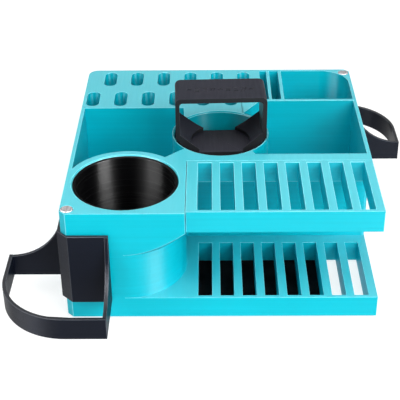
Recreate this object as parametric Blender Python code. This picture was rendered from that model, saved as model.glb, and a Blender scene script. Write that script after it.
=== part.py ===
"""Tool storage caddy: printed tray with bins, tool holes, plier racks, a
lift-out scrap cup, a lift-out carry handle and two corner loop holders.
Metres, +Z up, front towards -Y, origin under the middle of the outline."""
import bpy
import bmesh
import math
from mathutils import Matrix, Vector

MM = 0.001

# ---- driving dimensions, millimetres, measured from the body's front-left corner
BODY_W = 248.0            # across, X
BODY_D = 255.0            # front to back, Y
BODY_H = 98.0             # tray height
PAD_T = 2.0               # rubber pad under the body
PAD_GAP = 0.3
ZB = PAD_T + PAD_GAP      # underside of the body above the table
CX, CY = BODY_W / 2.0, BODY_D / 2.0
CHAMFER = 4.7             # corner flats under the two magnets
REAR_LEFT_R = 9.0
FRONT_RIGHT_R = 3.0
BASE_T = 18.7             # base plate and lower rack
DECK_Z = 79.5             # underside of the deck slab and of the upper rack
WALL = 3.2
FLOOR = 4.0
RECESS_Y = 88.0           # front face of the tray under the deck
# cup housing, front left
CUP_X, CUP_Y = 47.7, 48.0
CUP_HOUSE_R = 48.0
CUP_BORE_R = 42.2
CUP_RING_R = 48.8
CONE_Z = DECK_Z - 19.8
CUP_R, CUP_WALL, CUP_FLOOR = 41.8, 2.0, 2.4
CUP_Z0, CUP_Z1 = 4.3, 97.2
# centre socket
SOC_X, SOC_Y = 124.0, 129.0
SOC_R, SOC_WALL_R, SOC_RIM_R = 39.4, 41.2, 40.6
SOC_FLOOR = 62.0
# plier racks
RACK_X0 = 96.3
RACK_Y0, RACK_Y1 = 2.1, 80.0
SLOT_N, SLOT_X0, SLOT_PITCH, SLOT_W = 8, 105.2, 17.8, 11.2
UP_SLOT_Y0, UP_SLOT_Y1 = 5.3, 77.0
LO_SLOT_Y0, LO_SLOT_Y1 = 3.0, 77.2
TONGUE_Z0, TONGUE_Z1, TONGUE_D = 85.0, 92.0, 4.4
# tool holes
HOLE_N, HOLE_PITCH, HOLE_W, HOLE_L = 6, 25.0, 11.6, 28.4
HOLE_FRONT = (8.95, 194.2)
HOLE_REAR = (21.75, 235.4)
HOLE_FLOOR = 10.0
# magnets
MAG_R, MAG_T = 4.8, 2.9
MAG_GAP, MAG_PROUD = 0.45, 0.3
MAG_FL = (5.7, 7.1)
# handle
HAN_W, HAN_T, HAN_BAR_T = 38.2, 3.6, 4.2
HAN_FRONT, HAN_REAR, HAN_REAR_TOP = 18.5, 20.4, 18.9
HAN_TOP = 139.3
HAN_TURN = 2.0            # degrees about the socket axis
HAN_FOOT_R = 38.9
HAN_FLOOR = 89.2
HAN_CONE_Z = 92.2         # foot of the conical flare inside the handle
HAN_SLOPE = 1.044
HAN_DISH_R = 25.4
# corner holder
HOLD_Z0, HOLD_Z1, HOLD_BAND = 17.0, 79.0, 35.6
HOLD_REACH, HOLD_ARM, HOLD_T = 49.0, 37.0, 3.0
HOLD_R, HOLD_RC = 54.0, 5.0
HOLD_REAR_ARM, HOLD_REAR_LIFT = 33.8, 1.2

for ob in list(bpy.data.objects):
    bpy.data.objects.remove(ob, do_unlink=True)


def material(name, rgb, rough, metal=0.0):
    m = bpy.data.materials.new(name)
    m.use_nodes = True
    b = m.node_tree.nodes["Principled BSDF"]
    b.inputs["Base Color"].default_value = (rgb[0], rgb[1], rgb[2], 1.0)
    b.inputs["Roughness"].default_value = rough
    b.inputs["Metallic"].default_value = metal
    m.diffuse_color = (rgb[0], rgb[1], rgb[2], 1.0)
    return m


def place(x, y, z):
    """Body-corner millimetres to part metres."""
    return Vector(((x - CX) * MM, (y - CY) * MM, (z + ZB) * MM))


def prism(bm, pts, z0, z1):
    """Closed prism over a counter-clockwise outline."""
    lo = [bm.verts.new(place(x, y, z0)) for x, y in pts]
    hi = [bm.verts.new(place(x, y, z1)) for x, y in pts]
    n = len(pts)
    bm.faces.new(list(reversed(lo)))
    bm.faces.new(hi)
    for i in range(n):
        j = (i + 1) % n
        bm.faces.new((lo[i], lo[j], hi[j], hi[i]))


def prism_xz(bm, pts, y0, y1):
    """Closed prism over an X-Z outline, extruded along Y."""
    a = [bm.verts.new(place(x, y0, z)) for x, z in pts]
    b = [bm.verts.new(place(x, y1, z)) for x, z in pts]
    n = len(pts)
    bm.faces.new(a)
    bm.faces.new(list(reversed(b)))
    for i in range(n):
        j = (i + 1) % n
        bm.faces.new((a[j], a[i], b[i], b[j]))


def prism_yz(bm, pts, x0, x1):
    """Closed prism over a Y-Z outline, extruded along X."""
    a = [bm.verts.new(place(x0, y, z)) for y, z in pts]
    b = [bm.verts.new(place(x1, y, z)) for y, z in pts]
    n = len(pts)
    bm.faces.new(list(reversed(a)))
    bm.faces.new(b)
    for i in range(n):
        j = (i + 1) % n
        bm.faces.new((a[i], a[j], b[j], b[i]))


def lathe(bm, prof, cx, cy, seg=96):
    """Solid of revolution; prof is (r, z), first and last on the axis."""
    rings = []
    for r, z in prof:
        if r <= 1e-9:
            rings.append([bm.verts.new(place(cx, cy, z))])
        else:
            rings.append([bm.verts.new(place(cx + r * math.cos(2 * math.pi * k / seg),
                                             cy + r * math.sin(2 * math.pi * k / seg), z))
                          for k in range(seg)])
    for a, b in zip(rings[:-1], rings[1:]):
        for k in range(seg):
            l = (k + 1) % seg
            if len(a) == 1:
                bm.faces.new((a[0], b[k], b[l]))
            elif len(b) == 1:
                bm.faces.new((a[k], b[0], a[l]))
            else:
                bm.faces.new((a[k], b[k], b[l], a[l]))


def arc(cx, cy, r, a0, a1, n):
    return [(cx + r * math.cos(math.radians(a0 + (a1 - a0) * k / n)),
             cy + r * math.sin(math.radians(a0 + (a1 - a0) * k / n))) for k in range(n + 1)]


def box(bm, x0, x1, y0, y1, z0, z1):
    prism(bm, [(x0, y0), (x1, y0), (x1, y1), (x0, y1)], z0, z1)


def finish(name, bm, mat=None, cutter=False):
    bmesh.ops.recalc_face_normals(bm, faces=bm.faces)
    me = bpy.data.meshes.new(name)
    bm.to_mesh(me)
    bm.free()
    ob = bpy.data.objects.new(name, me)
    bpy.context.scene.collection.objects.link(ob)
    if mat:
        me.materials.append(mat)
    if cutter:
        ob.hide_render = True
        ob.display_type = 'WIRE'
    return ob


def boolean(ob, other, op):
    m = ob.modifiers.new(op.title() + "_" + other.name, 'BOOLEAN')
    m.operation = op
    m.solver = 'EXACT'
    m.object = other


def set_origin(ob, x, y, z):
    """Give the object its own origin, with its shape left where it is."""
    at = place(x, y, z)
    ob.data.transform(Matrix.Translation(-at))
    ob.location = at


def smooth(ob, deg=32.0):
    for p in ob.data.polygons:
        p.use_smooth = True
    ob.data.set_sharp_from_angle(angle=math.radians(deg))


CYAN = (0.010, 0.560, 0.680)
cyan = material("body_print", CYAN, 0.42)
cyan_rack = material("rack_print", (0.014, 0.575, 0.690), 0.42)
cup_black = material("cup_gloss_black", (0.006, 0.006, 0.008), 0.12)
handle_black = material("handle_black", (0.030, 0.034, 0.044), 0.45)
holder_black = material("holder_black", (0.022, 0.026, 0.036), 0.38)
holder_black_rear = material("holder_black_rear", (0.022, 0.026, 0.036), 0.38)
steel = material("magnet_nickel", (0.62, 0.63, 0.65), 0.22, 1.0)
steel_rear = material("magnet_nickel_rear", (0.62, 0.63, 0.65), 0.22, 1.0)
rubber = material("pad_rubber", (0.004, 0.004, 0.005), 0.85)


# ---------------------------------------------------------------- main body
def rear_corners():
    """Right rear flat, then the rounded left rear corner, anticlockwise."""
    return ([(BODY_W, BODY_D - CHAMFER), (BODY_W - CHAMFER, BODY_D)]
            + arc(REAR_LEFT_R, BODY_D - REAR_LEFT_R, REAR_LEFT_R, 90, 180, 8))


base_plan = [(0.0, CHAMFER), (CHAMFER, 0.0), (BODY_W, 0.0)] + rear_corners()

deck_plan = ([(0.0, CHAMFER), (CHAMFER, 0.0), (RACK_X0 - 0.5, 0.0),
              (RACK_X0 - 0.5, RACK_Y1 + 0.4), (BODY_W, RACK_Y1 + 0.4)] + rear_corners())

house_end = math.degrees(math.asin((RECESS_Y - CUP_Y) / CUP_HOUSE_R))
mid_plan = ([(0.0, CHAMFER), (CHAMFER, 0.0)]
            + arc(CUP_X, CUP_Y, CUP_HOUSE_R, -90, house_end, 40)
            + arc(BODY_W - FRONT_RIGHT_R, RECESS_Y + FRONT_RIGHT_R, FRONT_RIGHT_R, -90, 0, 5)
            + rear_corners())

bm = bmesh.new()
prism(bm, base_plan, 0.0, BASE_T)
main_body = finish("main_body", bm, cyan)

bm = bmesh.new()
prism(bm, mid_plan, BASE_T - 4.0, DECK_Z + 4.0)
mid = finish("u_mid", bm, cyan, True)

bm = bmesh.new()
prism(bm, deck_plan, DECK_Z, BODY_H)
deck = finish("u_deck", bm, cyan, True)

# forty-five degree support under the deck around the cup housing
bm = bmesh.new()
lathe(bm, [(0.0, CONE_Z - 2.0), (CUP_HOUSE_R - 2.0, CONE_Z - 2.0),
           (CUP_HOUSE_R + 19.8 + 2.0, DECK_Z + 2.0), (0.0, DECK_Z + 2.0)], CUP_X, CUP_Y, 144)
cone = finish("u_cone", bm, cyan, True)
bm = bmesh.new()
box(bm, 30.0, RACK_X0 - 0.5, 0.0, RECESS_Y + 1.0, CONE_Z - 10.0, DECK_Z + 1.0)
cone_clip = finish("k_cone_clip", bm, None, True)
boolean(cone, cone_clip, 'INTERSECT')

boolean(main_body, mid, 'UNION')
boolean(main_body, deck, 'UNION')
boolean(main_body, cone, 'UNION')

TOP = BODY_H + 2.0
bm = bmesh.new()
# left bin: wraps round the cup ring and the centre socket
a0 = math.degrees(math.atan2(156.3 - SOC_Y, 93.2 - SOC_X))
a1 = math.degrees(math.atan2(100.9 - SOC_Y, 93.5 - SOC_X)) % 360.0
c0 = math.degrees(math.atan2(86.4 - CUP_Y, 78.0 - CUP_X))
c1 = 180.0 - math.degrees(math.acos((CUP_X - WALL) / CUP_RING_R))
left_bin = ([(WALL, 175.5)]
            + list(reversed(arc(CUP_X, CUP_Y, CUP_RING_R, c0, c1, 28)))
            + list(reversed(arc(SOC_X, SOC_Y, SOC_WALL_R, a0, a1, 22)))
            + [(91.5, 175.5)])
prism(bm, left_bin, FLOOR, TOP)
# right bin
b0 = math.degrees(math.atan2(164.8 - SOC_Y, 144.6 - SOC_X))
b1 = math.degrees(math.atan2(97.0 - SOC_Y, 150.0 - SOC_X))
right_bin = ([(152.6, 91.3), (BODY_W - WALL + 0.1, 91.3), (BODY_W - WALL + 0.1, 188.7), (160.4, 188.7)]
             + arc(SOC_X, SOC_Y, SOC_WALL_R, b0, b1, 28))
prism(bm, right_bin, FLOOR, TOP)
# rear compartments
box(bm, 162.3, 168.9, 192.0, 252.0, FLOOR, TOP)
box(bm, 171.6, 180.0, 192.0, 252.0, FLOOR, TOP)
prism(bm, [(182.8, 192.0), (245.0, 192.0)] + arc(219.5, 226.5, 25.5, 0, 90, 14) + [(182.8, 252.0)], FLOOR, TOP)
# two staggered rows of long tool holes with round ends
hw, hl = HOLE_W / 2.0, HOLE_L / 2.0
hole = arc(0.0, hl - hw, hw, 0, 180, 8) + arc(0.0, hw - hl, hw, 180, 360, 8)
for hx, hy in (HOLE_FRONT, HOLE_REAR):
    for k in range(HOLE_N):
        prism(bm, [(hx + k * HOLE_PITCH + x, hy + y) for x, y in hole], HOLE_FLOOR, TOP)
# lower rack slots
for k in range(SLOT_N):
    x = SLOT_X0 + k * SLOT_PITCH
    box(bm, x, x + SLOT_W, LO_SLOT_Y0, LO_SLOT_Y1, -2.0, BASE_T + 2.0)
# cup bore, socket and magnet seats
lathe(bm, [(0.0, FLOOR - 0.3), (CUP_BORE_R, FLOOR - 0.3), (CUP_BORE_R, BODY_H - 0.8),
           (CUP_BORE_R + 2.8, BODY_H + 2.0), (0.0, BODY_H + 2.0)], CUP_X, CUP_Y, 120)
lathe(bm, [(0.0, SOC_FLOOR), (SOC_R, SOC_FLOOR), (SOC_R, BODY_H - 1.2),
           (SOC_R + 3.2, BODY_H + 2.0), (0.0, BODY_H + 2.0)], SOC_X, SOC_Y, 120)
for mx, my in (MAG_FL, (BODY_W - MAG_FL[0], BODY_D - MAG_FL[1])):
    lathe(bm, [(0.0, BODY_H + MAG_PROUD - MAG_T - 0.3), (MAG_R + MAG_GAP, BODY_H + MAG_PROUD - MAG_T - 0.3),
               (MAG_R + MAG_GAP, BODY_H + 2.0), (0.0, BODY_H + 2.0)], mx, my, 40)
# groove behind the upper rack
box(bm, RACK_X0 + 5.7, BODY_W - 5.7, RACK_Y1 - 2.0, RACK_Y1 + TONGUE_D + 0.3, TONGUE_Z0 - 0.3, TONGUE_Z1 + 0.3)
hollow = finish("k_body_hollows", bm, None, True)
boolean(main_body, hollow, 'DIFFERENCE')

# ---------------------------------------------------------------- upper rack
bm = bmesh.new()
box(bm, RACK_X0, BODY_W, RACK_Y0, RACK_Y1, DECK_Z, BODY_H)
rack = finish("upper_plier_rack", bm, cyan_rack)
set_origin(rack, RACK_X0, RACK_Y0, DECK_Z)
bm = bmesh.new()
box(bm, RACK_X0 + 6.0, BODY_W - 6.0, RACK_Y1 - 1.5, RACK_Y1 + TONGUE_D, TONGUE_Z0, TONGUE_Z1)
tongue = finish("u_rack_tongue", bm, cyan_rack, True)
boolean(rack, tongue, 'UNION')
bm = bmesh.new()
for k in range(SLOT_N):
    x = SLOT_X0 + k * SLOT_PITCH
    box(bm, x, x + SLOT_W, UP_SLOT_Y0, UP_SLOT_Y1, DECK_Z - 2.0, TOP)
slots = finish("k_rack_slots", bm, None, True)
boolean(rack, slots, 'DIFFERENCE')

# ---------------------------------------------------------------- scrap cup
bm = bmesh.new()
ri = CUP_R - CUP_WALL
lathe(bm, [(0.0, CUP_Z0), (CUP_R - 1.6, CUP_Z0), (CUP_R, CUP_Z0 + 1.6), (CUP_R, CUP_Z1),
           (ri + 0.7, CUP_Z1), (ri, CUP_Z1 - 0.7), (ri, CUP_Z0 + CUP_FLOOR + 2.5),
           (ri - 2.5, CUP_Z0 + CUP_FLOOR), (0.0, CUP_Z0 + CUP_FLOOR)], CUP_X, CUP_Y, 96)
cup = finish("scrap_cup", bm, cup_black)
smooth(cup)
set_origin(cup, CUP_X, CUP_Y, CUP_Z0)     # on the axis it lifts along

# ---------------------------------------------------------------- carry handle
HX, HY = SOC_X, SOC_Y


def about_socket(bm):
    """Turn the geometry by HAN_TURN about the socket axis."""
    o = place(HX, HY, 0.0)
    c, sn = math.cos(math.radians(HAN_TURN)), math.sin(math.radians(HAN_TURN))
    for v in bm.verts:
        dx, dy = v.co.x - o.x, v.co.y - o.y
        v.co.x, v.co.y = o.x + c * dx - sn * dy, o.y + sn * dx + c * dy


zt = HAN_TOP
outer = ([(HX - HAN_W, SOC_FLOOR + 0.3), (HX + HAN_W, SOC_FLOOR + 0.3)]
         + arc(HX + HAN_W - 5.0, zt - 5.0, 5.0, 0, 90, 7)
         + arc(HX - HAN_W + 5.0, zt - 5.0, 5.0, 90, 180, 7))
bm = bmesh.new()
prism_xz(bm, outer, HY - HAN_FRONT, HY + HAN_REAR)
# the rear face leans forward towards the top
for v in bm.verts:
    if v.co.y > place(HX, HY, 0.0).y:
        z = v.co.z / MM - ZB
        v.co.y += (HAN_REAR_TOP - HAN_REAR) * (z - HAN_FLOOR) / (zt - HAN_FLOOR) * MM
about_socket(bm)
handle = finish("carry_handle", bm, handle_black)
set_origin(handle, HX, HY, SOC_FLOOR + 0.3)     # on the axis it lifts along
# round foot that drops into the socket, flaring above the rim
bm = bmesh.new()
lathe(bm, [(0.0, SOC_FLOOR - 2.0), (HAN_FOOT_R, SOC_FLOOR - 2.0), (HAN_FOOT_R, BODY_H + 0.4),
           (HAN_FOOT_R + 4.4, BODY_H + 4.8), (HAN_FOOT_R + 4.4, zt + 5.0), (0.0, zt + 5.0)], HX, HY, 96)
foot = finish("k_handle_foot", bm, None, True)
boolean(handle, foot, 'INTERSECT')
# hand opening: straight inner sides above a round floor with a conical flare
iw = HAN_W - HAN_T
opening = ([(HX - iw, HAN_FLOOR - 2.0), (HX + iw, HAN_FLOOR - 2.0)]
           + arc(HX + iw - 2.4, zt - HAN_BAR_T - 2.4, 2.4, 0, 90, 5)
           + arc(HX - iw + 2.4, zt - HAN_BAR_T - 2.4, 2.4, 90, 180, 5))
bm = bmesh.new()
prism_xz(bm, opening, HY - HAN_FRONT - 3.0, HY + HAN_REAR + 3.0)
about_socket(bm)
grip = finish("k_handle_opening", bm, None, True)
cone_h = 20.0
bm = bmesh.new()
lathe(bm, [(0.0, HAN_FLOOR), (HAN_DISH_R, HAN_FLOOR), (HAN_DISH_R, HAN_CONE_Z),
           (HAN_DISH_R + cone_h / HAN_SLOPE, HAN_CONE_Z + cone_h), (70.0, HAN_CONE_Z + cone_h + 0.5),
           (70.0, zt + 5.0), (0.0, zt + 5.0)], HX, HY - 1.0, 96)
flare = finish("k_handle_flare", bm, None, True)
boolean(grip, flare, 'INTERSECT')
boolean(handle, grip, 'DIFFERENCE')


# ---------------------------------------------------------------- corner holders
def holder(name, turn, mat, arm=HOLD_ARM, lift=0.0):
    """Loop holder round a body corner; turn 180 gives the rear right one.
    arm is how far the side plate stands from the corner."""
    z0, z1, zb = HOLD_Z0 + lift, HOLD_Z1 + lift, HOLD_BAND + lift

    def p(x, y):
        return (BODY_W - x, BODY_D - y) if turn else (x, y)

    def pts(seq):
        return [p(x, y) for x, y in seq]

    gap = 0.3
    inn = CHAMFER - gap * math.sqrt(2.0) + gap
    bm = bmesh.new()
    prism(bm, pts([(5.6, -gap - HOLD_T), (HOLD_ARM, -gap - HOLD_T), (HOLD_ARM, -gap), (inn, -gap),
                   (-gap, inn), (-gap, arm), (-gap - HOLD_T, arm), (-gap - HOLD_T, 5.6)]),
          z0, z1)
    ob = finish(name, bm, mat)
    # closed loop band
    bm = bmesh.new()
    c, r, t, e = HOLD_RC, HOLD_R, HOLD_T, HOLD_REACH
    out = [(-e, arm)] + arc(c, c, r, 180, 270, 26) + [(HOLD_ARM, -e)]
    inner = [(HOLD_ARM, -e + t)] + arc(c, c, r - t, 270, 180, 26) + [(-e + t, arm)]
    prism(bm, pts(out + inner), z0, zb)
    band = finish("u_" + name + "_band", bm, mat, True)
    boolean(ob, band, 'UNION')
    # gusset plates with a hollow curved top edge
    rr = HOLD_REACH - 1.5 - HOLD_T - 0.8
    curve = arc(-HOLD_REACH + 1.5, z1, rr, 0, -90, 14)
    prof = [(-gap - 1.0, z0), (-gap - 1.0, z1)] + curve + [(-HOLD_REACH + 0.5, z1 - rr), (-HOLD_REACH + 0.5, z0)]
    bm = bmesh.new()
    if turn:
        prism_xz(bm, [(BODY_W - x, z) for x, z in prof], BODY_D - arm, BODY_D - arm + HOLD_T)
    else:
        prism_xz(bm, prof, arm - HOLD_T, arm)
    g1 = finish("u_" + name + "_side", bm, mat, True)
    boolean(ob, g1, 'UNION')
    bm = bmesh.new()
    if turn:
        prism_yz(bm, [(BODY_D - y, z) for y, z in prof], BODY_W - HOLD_ARM, BODY_W - HOLD_ARM + HOLD_T)
    else:
        prism_yz(bm, prof, HOLD_ARM - HOLD_T, HOLD_ARM)
    g2 = finish("u_" + name + "_front", bm, mat, True)
    boolean(ob, g2, 'UNION')
    return ob


holder_fl = holder("holder_front_left", False, holder_black)
set_origin(holder_fl, 0.0, 0.0, HOLD_Z0)
holder_rr = holder("holder_rear_right", True, holder_black_rear, HOLD_REAR_ARM, HOLD_REAR_LIFT)
set_origin(holder_rr, BODY_W, BODY_D, HOLD_Z0 + HOLD_REAR_LIFT)

# ---------------------------------------------------------------- corner magnets
for name, mx, my, mat in (("magnet_front_left", MAG_FL[0], MAG_FL[1], steel),
                          ("magnet_rear_right", BODY_W - MAG_FL[0], BODY_D - MAG_FL[1], steel_rear)):
    bm = bmesh.new()
    z1 = BODY_H + MAG_PROUD
    lathe(bm, [(0.0, z1 - MAG_T), (MAG_R - 0.3, z1 - MAG_T), (MAG_R, z1 - MAG_T + 0.3),
               (MAG_R, z1 - 0.4), (MAG_R - 0.4, z1), (0.0, z1)], mx, my, 40)
    disc = finish(name, bm, mat)
    smooth(disc)
    set_origin(disc, mx, my, z1 - MAG_T)

# ---------------------------------------------------------------- base pad
PAD_X0, PAD_X1, PAD_Y0, PAD_Y1 = 33.0, 215.0, 28.5, 226.5
PAD_R = 6.0
bm = bmesh.new()
pad_plan = (arc(PAD_X1 - PAD_R, PAD_Y0 + PAD_R, PAD_R, -90, 0, 6)
            + arc(PAD_X1 - PAD_R, PAD_Y1 - PAD_R, PAD_R, 0, 90, 6)
            + arc(PAD_X0 + PAD_R, PAD_Y1 - PAD_R, PAD_R, 90, 180, 6)
            + arc(PAD_X0 + PAD_R, PAD_Y0 + PAD_R, PAD_R, 180, 270, 6))
prism(bm, pad_plan, -ZB, -ZB + PAD_T)
pad = finish("base_pad", bm, rubber)
set_origin(pad, CX, CY, -ZB)
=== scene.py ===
"""Tool storage caddy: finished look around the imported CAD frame."""
import bpy
import bmesh
import math
from mathutils import Vector, Matrix
from mathutils.geometry import delaunay_2d_cdt


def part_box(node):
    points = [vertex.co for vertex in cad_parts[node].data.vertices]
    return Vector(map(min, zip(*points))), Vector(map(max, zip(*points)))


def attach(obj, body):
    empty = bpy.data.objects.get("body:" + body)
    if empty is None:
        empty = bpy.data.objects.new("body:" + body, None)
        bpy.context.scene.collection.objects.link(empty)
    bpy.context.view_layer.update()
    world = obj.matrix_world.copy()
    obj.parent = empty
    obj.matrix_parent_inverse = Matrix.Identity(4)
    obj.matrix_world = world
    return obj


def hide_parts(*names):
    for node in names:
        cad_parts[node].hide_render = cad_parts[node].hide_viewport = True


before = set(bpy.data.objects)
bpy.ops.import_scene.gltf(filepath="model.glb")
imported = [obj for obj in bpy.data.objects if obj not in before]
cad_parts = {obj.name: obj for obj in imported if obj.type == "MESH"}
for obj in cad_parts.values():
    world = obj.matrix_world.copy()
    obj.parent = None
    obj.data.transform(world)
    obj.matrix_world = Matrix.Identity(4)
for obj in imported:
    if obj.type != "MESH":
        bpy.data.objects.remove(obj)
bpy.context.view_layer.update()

sc = bpy.context.scene
MM = 0.001


# ------------------------------------------------------------------ shader help
class Graph:
    """Small helper that adds nodes to a material and links them."""

    def __init__(self, name):
        self.m = bpy.data.materials.new(name)
        self.m.use_nodes = True
        self.t = self.m.node_tree
        self.b = self.t.nodes["Principled BSDF"]

    def n(self, kind, **props):
        node = self.t.nodes.new(kind)
        for k, v in props.items():
            setattr(node, k, v)
        return node

    def put(self, sock, v):
        if isinstance(v, bpy.types.NodeSocket):
            self.t.links.new(v, sock)
        elif v is not None:
            sock.default_value = v

    def math(self, op, a, b=None, c=None, clamp=False):
        node = self.n("ShaderNodeMath", operation=op, use_clamp=clamp)
        for s, v in zip(node.inputs, (a, b, c)):
            self.put(s, v)
        return node.outputs[0]

    def mix(self, f, a, b, mode="MIX"):
        node = self.n("ShaderNodeMix", data_type="RGBA", blend_type=mode)
        self.put(node.inputs["Factor"], f)
        self.put(node.inputs[6], a if isinstance(a, bpy.types.NodeSocket) else (*a, 1.0))
        self.put(node.inputs[7], b if isinstance(b, bpy.types.NodeSocket) else (*b, 1.0))
        return node.outputs[2]

    def remap(self, v, a, b, c, d):
        node = self.n("ShaderNodeMapRange")
        self.put(node.inputs["Value"], v)
        for k, x in zip(("From Min", "From Max", "To Min", "To Max"), (a, b, c, d)):
            node.inputs[k].default_value = x
        return node.outputs[0]

    def coords(self, sx=1.0, sy=1.0, sz=1.0, rz=0.0):
        tc = self.n("ShaderNodeTexCoord")
        mp = self.n("ShaderNodeMapping")
        self.t.links.new(tc.outputs["Object"], mp.inputs["Vector"])
        mp.inputs["Scale"].default_value = (sx, sy, sz)
        mp.inputs["Rotation"].default_value = (0.0, 0.0, rz)
        return mp.outputs[0]

    def noise(self, vec, scale, detail=3.0, rough=0.5):
        node = self.n("ShaderNodeTexNoise")
        self.put(node.inputs["Vector"], vec)
        node.inputs["Scale"].default_value = scale
        node.inputs["Detail"].default_value = detail
        node.inputs["Roughness"].default_value = rough
        return node.outputs["Fac"]

    def bands(self, vec, axis, period, distortion=0.0, dscale=1.0):
        node = self.n("ShaderNodeTexWave", wave_type="BANDS", bands_direction=axis,
                      wave_profile="SIN")
        self.put(node.inputs["Vector"], vec)
        node.inputs["Scale"].default_value = 0.31416 / period
        node.inputs["Distortion"].default_value = distortion
        node.inputs["Detail"].default_value = 1.0
        node.inputs["Detail Scale"].default_value = dscale
        return node.outputs["Fac"]

    def edge(self):
        return self.n("ShaderNodeAttribute", attribute_name="edge").outputs["Fac"]

    def bump(self, height, strength, dist):
        node = self.n("ShaderNodeBump")
        node.inputs["Strength"].default_value = strength
        node.inputs["Distance"].default_value = dist
        self.put(node.inputs["Height"], height)
        return node.outputs[0]


def print_side(name, rgb, light, rough, spec, aniso, layer=0.0004, contrast=0.10, edge_gain=0.6, relief=0.18, pebble=0.0):
    """Upright printed wall: level layer lines, drifting bands, and a painted highlight that lightens the bevelled
    edges.
    """
    g = Graph(name)
    lines = g.bands(g.coords(), "Z", layer)
    drift = g.noise(g.coords(4.0, 4.0, 520.0), 1.0, 2.0, 0.6)
    slow = g.noise(g.coords(), 14.0, 2.0, 0.5)
    fac = g.math("ADD", g.math("MULTIPLY", lines, 0.35), g.math("MULTIPLY", drift, 0.65))
    fac = g.math("ADD", fac, g.math("MULTIPLY", g.math("SUBTRACT", slow, 0.5), 0.5), clamp=True)
    lo = tuple(a * (1 - contrast) for a in rgb)
    hi = tuple(min(1.0, a * (1 + contrast)) for a in rgb)
    col = g.mix(fac, lo, hi)
    # painted highlight: bevel faces are mixed towards the light colour, standing in for light catching the rounded
    # edges
    edge_highlight = g.math("MULTIPLY", g.edge(), g.remap(g.noise(g.coords(), 220.0, 2.0), 0.3, 0.7, edge_gain * 0.7, edge_gain))
    col = g.mix(edge_highlight, col, light)
    g.put(g.b.inputs["Base Color"], col)
    g.put(g.b.inputs["Roughness"], g.remap(fac, 0.0, 1.0, rough + 0.05, rough - 0.04))
    g.b.inputs["Specular IOR Level"].default_value = spec
    g.b.inputs["Anisotropic"].default_value = aniso
    g.b.inputs["Anisotropic Rotation"].default_value = 0.25
    tan = g.n("ShaderNodeTangent", direction_type="RADIAL", axis="Z")
    g.put(g.b.inputs["Tangent"], tan.outputs[0])
    h = g.math("ADD", lines, g.math("MULTIPLY", drift, 0.6))
    if pebble:
        spots = g.noise(g.coords(1.0, 1.0, 1.0), 620.0, 2.0, 0.55)
        h = g.math("ADD", h, g.math("MULTIPLY", spots, pebble))
    g.put(g.b.inputs["Normal"], g.bump(h, relief, 0.00008))
    return g.m


def print_top(name, rgb, tint, light, rough, spec, angle=45.0, pitch=0.0005, contrast=0.06, edge_gain=0.5):
    """Level printed face: raster strokes, faint blotches, and a painted highlight that lightens the bevelled edges."""
    g = Graph(name)
    rz = math.radians(angle)
    strokes = g.bands(g.coords(rz=rz), "X", pitch, 0.6, 30.0)
    grain = g.noise(g.coords(500.0, 40.0, 500.0, rz), 1.0, 2.0, 0.6)
    blot = g.noise(g.coords(), 26.0, 3.0, 0.55)
    fac = g.math("ADD", g.math("MULTIPLY", strokes, 0.4), g.math("MULTIPLY", grain, 0.6))
    lo = tuple(a * (1 - contrast) for a in rgb)
    hi = tuple(min(1.0, a * (1 + contrast)) for a in rgb)
    col = g.mix(fac, lo, hi)
    col = g.mix(g.remap(blot, 0.35, 0.7, 0.0, 0.5), col, tint)
    # painted highlight: bevel faces are mixed towards the light colour, standing in for light catching the rounded
    # edges
    edge_highlight = g.math("MULTIPLY", g.edge(), g.remap(g.noise(g.coords(), 220.0, 2.0), 0.3, 0.7, edge_gain * 0.7, edge_gain))
    col = g.mix(edge_highlight, col, light)
    g.put(g.b.inputs["Base Color"], col)
    g.put(g.b.inputs["Roughness"], g.remap(grain, 0.3, 0.7, rough + 0.05, rough - 0.05))
    g.b.inputs["Specular IOR Level"].default_value = spec
    h = g.math("ADD", strokes, g.math("MULTIPLY", grain, 0.15))
    g.put(g.b.inputs["Normal"], g.bump(h, 0.07, 0.00008))
    return g.m


def magnet_metal(name, cx, cy):
    """Nickel plate with fine turning rings, scuffs and a duller rim."""
    g = Graph(name)
    v = g.coords()
    sep = g.n("ShaderNodeSeparateXYZ")
    g.put(sep.inputs[0], v)
    dx = g.math("SUBTRACT", sep.outputs[0], cx)
    dy = g.math("SUBTRACT", sep.outputs[1], cy)
    r = g.math("SQRT", g.math("ADD", g.math("MULTIPLY", dx, dx), g.math("MULTIPLY", dy, dy)))
    rings = g.math("SINE", g.math("MULTIPLY", r, 2 * math.pi / 0.00022))
    scuff = g.noise(g.coords(900.0, 120.0, 300.0, 0.6), 1.0, 3.0, 0.6)
    col = g.mix(g.remap(scuff, 0.35, 0.7, 0.0, 1.0), (0.13, 0.122, 0.126), (0.20, 0.188, 0.192))
    col = g.mix(g.remap(r, 0.0040, 0.0048, 0.0, 0.6), col, (0.24, 0.24, 0.255))
    g.put(g.b.inputs["Base Color"], col)
    g.b.inputs["Metallic"].default_value = 1.0
    g.put(g.b.inputs["Roughness"], g.remap(scuff, 0.3, 0.75, 0.50, 0.68))
    g.put(g.b.inputs["Normal"], g.bump(g.math("ADD", g.math("MULTIPLY", rings, 0.2), scuff), 0.08, 0.00004))
    return g.m


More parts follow.
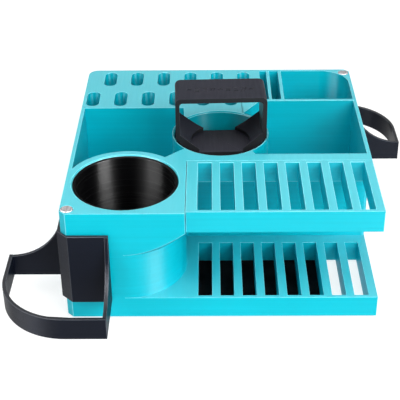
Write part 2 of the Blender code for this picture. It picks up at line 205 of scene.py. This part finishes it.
def rubber(name):
    """Black foam rubber with pores and dust."""
    g = Graph(name)
    pores = g.n("ShaderNodeTexVoronoi")
    g.put(pores.inputs["Vector"], g.coords())
    pores.inputs["Scale"].default_value = 900.0
    dust = g.noise(g.coords(), 60.0, 4.0, 0.6)
    col = g.mix(g.remap(dust, 0.4, 0.75, 0.0, 1.0), (0.0012, 0.0013, 0.0016), (0.005, 0.0052, 0.006))
    g.put(g.b.inputs["Base Color"], col)
    g.put(g.b.inputs["Roughness"], g.remap(dust, 0.3, 0.7, 0.95, 0.8))
    g.b.inputs["Specular IOR Level"].default_value = 0.15
    g.put(g.b.inputs["Normal"], g.bump(pores.outputs["Distance"], 0.3, 0.0002))
    return g.m


# ------------------------------------------------------------------ colours
CY = (0.0, 0.425, 0.530)
# painted highlight colour for the bevelled cyan edges
CY_EDGE_HIGHLIGHT = (0.22, 0.76, 0.84)
TOP = (0.006, 0.435, 0.515)
TOP_TINT = (0.003, 0.415, 0.520)

# the last colour given to each print_side and print_top material below is its painted edge highlight colour
side_cyan = print_side("body_side", CY, CY_EDGE_HIGHLIGHT, 0.33, 0.14, 1.0, contrast=0.16, edge_gain=0.95)
top_cyan = print_top("body_top", TOP, TOP_TINT, CY_EDGE_HIGHLIGHT, 0.42, 0.9, 45.0, edge_gain=1.0)
side_rack = print_side("rack_side", (0.0, 0.430, 0.530), CY_EDGE_HIGHLIGHT, 0.36, 0.22, 0.9, contrast=0.15, edge_gain=1.0)
top_rack = print_top("rack_top", TOP, TOP_TINT, CY_EDGE_HIGHLIGHT, 0.42, 0.9, 0.0, 0.0009, 0.10, edge_gain=1.0)
side_cup = print_side("cup_gloss", (0.0016, 0.0016, 0.0020), (0.003, 0.003, 0.004), 0.25, 0.42, 1.0, 0.0003, 0.2, 0.2, relief=0.04)
top_cup = print_top("cup_floor", (0.0016, 0.0016, 0.002), (0.0022, 0.0022, 0.003), (0.004, 0.004, 0.005), 0.45, 0.03, 30.0)
side_handle = print_side("handle_side", (0.0022, 0.0026, 0.0045), (0.022, 0.024, 0.032), 0.42, 0.20, 0.5, 0.0004, 0.2, 0.5)
top_handle = print_top("handle_top", (0.015, 0.017, 0.026), (0.022, 0.019, 0.030), (0.055, 0.058, 0.072), 0.45, 0.06, 90.0, 0.0007, 0.25)
side_holder = print_side("holder_side", (0.0040, 0.0060, 0.0125), (0.065, 0.072, 0.09), 0.36, 0.11, 0.95, 0.0004, 0.18, 0.8,
                         pebble=2.0)
top_holder = print_top("holder_top", (0.006, 0.007, 0.011), (0.008, 0.010, 0.016), (0.10, 0.11, 0.13), 0.42, 0.25, 45.0)
pad_black = rubber("pad_foam")


# ------------------------------------------------------------------ mesh help
def refill(bm, limit=0.15):
    """Every flat region is filled again from its own outline, holes kept."""
    bm.normal_update()
    lim = math.cos(math.radians(limit))
    seen = set()
    regions = []
    for f in list(bm.faces):
        if f in seen:
            continue
        seen.add(f)
        n = f.normal.copy()
        stack, reg = [f], []
        while stack:
            g = stack.pop()
            reg.append(g)
            for e in g.edges:
                for h in e.link_faces:
                    if h not in seen and h.normal.dot(n) > lim:
                        seen.add(h)
                        stack.append(h)
        if len(reg) > 2:
            regions.append((n, reg))
    for n, reg in regions:
        own = set(reg)
        area0 = sum(f.calc_area() for f in reg)
        rim = list(dict.fromkeys(e for f in reg for e in f.edges if sum(1 for g in e.link_faces if g in own) == 1))
        u = n.orthogonal().normalized()
        w = n.cross(u)
        ring = list(dict.fromkeys(v for e in rim for v in e.verts))
        index = {v: i for i, v in enumerate(ring)}
        flat = [Vector((v.co.dot(u), v.co.dot(w))) for v in ring]
        pairs = [(index[e.verts[0]], index[e.verts[1]]) for e in rim]
        out = delaunay_2d_cdt(flat, pairs, [], 0, 1e-7)
        if len(out[0]) != len(flat):
            continue
        back = [o[0] for o in out[3]]
        keep = []
        for tri in out[2]:
            if (out[0][tri[1]] - out[0][tri[0]]).cross(out[0][tri[2]] - out[0][tri[0]]) < 0:
                tri = (tri[0], tri[2], tri[1])
            c = (out[0][tri[0]] + out[0][tri[1]] + out[0][tri[2]]) / 3.0
            odd = False
            for i, j in pairs:
                p, q = flat[i], flat[j]
                if (p.y > c.y) != (q.y > c.y) and c.x < (q.x - p.x) * (c.y - p.y) / (q.y - p.y) + p.x:
                    odd = not odd
            if odd:
                keep.append([back[k] for k in tri])
        area1 = sum(abs((flat[b] - flat[a]).cross(flat[c] - flat[a])) / 2 for a, b, c in keep)
        if abs(area1 - area0) > 2e-3 * area0:
            continue
        mat = reg[0].material_index
        bmesh.ops.delete(bm, geom=reg, context='FACES_KEEP_BOUNDARY')
        for tri in keep:
            try:
                f = bm.faces.new([ring[k] for k in tri])
            except ValueError:
                continue
            f.normal = n
            f.material_index = mat


def read_mm(me, scale):
    bm = bmesh.new()
    vs = [bm.verts.new(v.co * scale) for v in me.vertices]
    for p in me.polygons:
        try:
            bm.faces.new([vs[i] for i in p.vertices])
        except ValueError:
            pass
    return bm


def temp_object(name, bm):
    me = bpy.data.meshes.new(name)
    bm.to_mesh(me)
    bm.free()
    ob = bpy.data.objects.new(name, me)
    sc.collection.objects.link(ob)
    return ob


def carved(bm, cutter):
    """bm with the closed shapes of cutter taken out of it."""
    bmesh.ops.remove_doubles(bm, verts=list(bm.verts), dist=0.0015)
    bmesh.ops.recalc_face_normals(bm, faces=bm.faces)
    a, b = temp_object("tmp_a", bm), temp_object("tmp_b", cutter)
    m = a.modifiers.new("cut", 'BOOLEAN')
    m.operation, m.solver, m.object = 'DIFFERENCE', 'EXACT', b
    bpy.context.view_layer.update()
    done = bpy.data.meshes.new_from_object(a.evaluated_get(bpy.context.evaluated_depsgraph_get()))
    out = read_mm(done, 1.0)
    for o in (a, b):
        me = o.data
        bpy.data.objects.remove(o, do_unlink=True)
        bpy.data.meshes.remove(me)
    bpy.data.meshes.remove(done)
    bmesh.ops.remove_doubles(out, verts=list(out.verts), dist=0.004)
    bmesh.ops.dissolve_limit(out, angle_limit=math.radians(0.3), verts=list(out.verts), edges=list(out.edges))
    return out


def fine_copy(node, name, body, mats, width, angle=28.0, seg=2, cutter=None, level=0.9):
    """A refined stand-in for a CAD node: welded, outer edges rounded, flat faces
    filled cleanly, and separate materials for level and upright faces."""
    bm = read_mm(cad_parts[node].data, 1000.0)
    if cutter:
        bm = carved(bm, cutter)
    bmesh.ops.remove_doubles(bm, verts=list(bm.verts), dist=0.0015)
    bmesh.ops.recalc_face_normals(bm, faces=bm.faces)
    bm.normal_update()
    sharp = [e for e in bm.edges if len(e.link_faces) == 2
             and e.calc_face_angle_signed(0.0) > math.radians(angle)]
    bmesh.ops.bevel(bm, geom=sharp, offset=width, offset_type='OFFSET', segments=seg, profile=0.5,
                           affect='EDGES', clamp_overlap=False, material=1, loop_slide=True)
    refill(bm)
    lay = bm.faces.layers.float.new("edge")
    bm.normal_update()
    for f in bm.faces:
        n = f.normal
        f[lay] = 1.0 if f.material_index == 1 else 0.0
        f.material_index = 0 if abs(n.z) < level else 1
        f.smooth = True
    bmesh.ops.scale(bm, vec=(MM, MM, MM), verts=list(bm.verts))
    me = bpy.data.meshes.new(name)
    bm.to_mesh(me)
    bm.free()
    ob = bpy.data.objects.new(name, me)
    sc.collection.objects.link(ob)
    for m in mats:
        me.materials.append(m)
    me.set_sharp_from_angle(angle=math.radians(40.0))
    wn = ob.modifiers.new("even_normals", 'WEIGHTED_NORMAL')
    wn.weight = 50
    wn.keep_sharp = True
    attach(ob, body)
    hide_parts(node)
    return ob


def handle_marks():
    """Shallow plain marks along the top of the handle: small blocks and diamonds,
    as closed shapes in millimetres."""
    lo, hi = (v * 1000.0 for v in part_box("carry_handle"))
    cx, cy, top = (lo.x + hi.x) / 2, (lo.y + hi.y) / 2 - 2.6, hi.z
    turn = math.radians(2.0)
    bm = bmesh.new()

    def shape(pts, depth):
        ring = [(cx + math.cos(turn) * x - math.sin(turn) * y, cy + math.sin(turn) * x + math.cos(turn) * y)
                for x, y in pts]
        low = [bm.verts.new((x, y, top - depth)) for x, y in ring]
        up = [bm.verts.new((x, y, top + 1.0)) for x, y in ring]
        bm.faces.new(list(reversed(low)))
        bm.faces.new(up)
        for i in range(len(ring)):
            j = (i + 1) % len(ring)
            bm.faces.new((low[i], low[j], up[j], up[i]))

    def block(x, y, w, h, lean=0.0):
        shape([(x - w / 2 - lean, y - h / 2), (x + w / 2 - lean, y - h / 2),
               (x + w / 2 + lean, y + h / 2), (x - w / 2 + lean, y + h / 2)], 0.55)

    for k in range(9):
        x = -26.0 + 6.5 * k
        kind = (k * 5 + 2) % 4
        if kind == 0:
            block(x, 2.5, 3.8, 1.1)
            block(x, -2.5, 3.8, 1.1)
        elif kind == 1:
            block(x - 1.3, 0.0, 1.1, 6.4, 0.7)
            block(x + 1.3, 0.0, 1.1, 6.4, 0.7)
        elif kind == 2:
            shape([(x - 2.3, 0.0), (x, -3.1), (x + 2.3, 0.0), (x, 3.1)], 0.55)
        else:
            block(x, 2.5, 3.8, 1.1)
            block(x, 0.0, 3.8, 1.1)
            block(x, -2.5, 3.8, 1.1)
    return bm


body_piece = fine_copy("main_body", "tray_print", "tray", [side_cyan, top_cyan], 0.26)
rack_piece = fine_copy("upper_plier_rack", "rack_print", "tray", [side_rack, top_rack], 0.45, seg=2)
cup_piece = fine_copy("scrap_cup", "cup_shell", "scrap_cup", [side_cup, top_cup], 0.2, level=0.5)
handle_piece = fine_copy("carry_handle", "handle_print", "carry_handle", [side_handle, top_handle], 0.22,
                         cutter=handle_marks(), level=0.5)
for node, name in (("holder_front_left", "holder_print_front"), ("holder_rear_right", "holder_print_rear")):
    fine_copy(node, name, "tray", [side_holder, top_holder], 0.4)
for node in ("magnet_front_left", "magnet_rear_right"):
    a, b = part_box(node)
    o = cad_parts[node]
    mat = magnet_metal(node + "_nickel", (a.x + b.x) / 2, (a.y + b.y) / 2)
    for s in o.material_slots:
        s.link = 'OBJECT'
        s.material = mat
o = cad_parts["base_pad"]
for s in o.material_slots:
    s.link = 'OBJECT'
    s.material = pad_black


# ------------------------------------------------------------------ stage
def floor():
    g = Graph("stage_floor")
    spot = g.noise(g.coords(), 3.0, 2.0, 0.5)
    g.put(g.b.inputs["Base Color"], g.mix(spot, (0.31, 0.31, 0.31), (0.34, 0.34, 0.34)))
    g.b.inputs["Emission Color"].default_value = (1.0, 1.0, 1.0, 1.0)
    g.b.inputs["Emission Strength"].default_value = 0.74
    g.b.inputs["Roughness"].default_value = 0.9
    g.b.inputs["Specular IOR Level"].default_value = 0.1
    me = bpy.data.meshes.new("stage_floor")
    s = 6.0
    me.from_pydata([(-s, -s, 0), (s, -s, 0), (s, s, 0), (-s, s, 0)], [], [(0, 1, 2, 3)])
    ob = bpy.data.objects.new("stage_floor", me)
    me.materials.append(g.m)
    sc.collection.objects.link(ob)


floor()

world = bpy.data.worlds.new("studio")
sc.world = world
world.use_nodes = True
world.node_tree.nodes["Background"].inputs[0].default_value = (1.0, 1.0, 1.0, 1.0)
world.node_tree.nodes["Background"].inputs[1].default_value = 0.16


def softbox(name, azimuth, elevation, dist, sx, sy, watts, target=(0.0, 0.0, 0.06)):
    """Rectangular soft light; azimuth runs from the front (-Y) towards +X."""
    d = bpy.data.lights.new(name, 'AREA')
    d.shape = 'RECTANGLE'
    d.size, d.size_y = sx, sy
    d.energy = watts
    ob = bpy.data.objects.new(name, d)
    sc.collection.objects.link(ob)
    a, e = math.radians(azimuth), math.radians(elevation)
    off = Vector((math.sin(a) * math.cos(e), -math.cos(a) * math.cos(e), math.sin(e))) * dist
    ob.location = Vector(target) + off
    ob.rotation_euler = (-off).to_track_quat('-Z', 'Y').to_euler()
    return ob


keys = [softbox("key_right", 40.0, 30.0, 1.5, 1.2, 0.9, 21.5),
        softbox("key_left", -62.0, 32.0, 1.5, 1.2, 0.9, 8.5),
        softbox("top_soft", 10.0, 72.0, 1.6, 1.0, 1.0, 18.0)]
for key in keys:
    key.visible_glossy = False
# strip reflections that only show as gloss
for name, azimuth, elevation, sx, sy, watts in (("sheen_right", 50.0, 36.0, 0.70, 1.3, 210.0),
                                                ("sheen_left", -66.0, 38.0, 0.95, 1.3, 160.0),
                                                ("sheen_back", 180.0, 34.0, 2.4, 1.3, 8.5)):
    strip = softbox(name, azimuth, elevation, 1.5, sx, sy, watts)
    strip.visible_diffuse = False

# ------------------------------------------------------------------ camera
pitch, yaw, roll = math.radians(31.985), math.radians(-0.400), math.radians(0.445)
cp, sp, cw, sw = math.cos(pitch), math.sin(pitch), math.cos(yaw), math.sin(yaw)
fwd = Vector((sw * cp, cw * cp, -sp))
right0 = Vector((cw, -sw, 0.0))
down0 = fwd.cross(right0)
cr, sr = math.cos(roll), math.sin(roll)
right = cr * right0 + sr * down0
down = -sr * right0 + cr * down0
cam_data = bpy.data.cameras.new("camera")
cam = bpy.data.objects.new("camera", cam_data)
sc.collection.objects.link(cam)
cam.matrix_world = Matrix((
    (right.x, -down.x, -fwd.x, -0.0084),
    (right.y, -down.y, -fwd.y, -0.7923),
    (right.z, -down.z, -fwd.z, 0.5281),
    (0.0, 0.0, 0.0, 1.0)))
cam_data.sensor_width = 36.0
cam_data.lens = 94.34
cam_data.shift_x = -0.0115
cam_data.shift_y = -0.0014
cam_data.clip_start = 0.01
cam_data.clip_end = 50.0
sc.camera = cam
sc.view_settings.view_transform = 'Standard'
sc.view_settings.look = 'None'
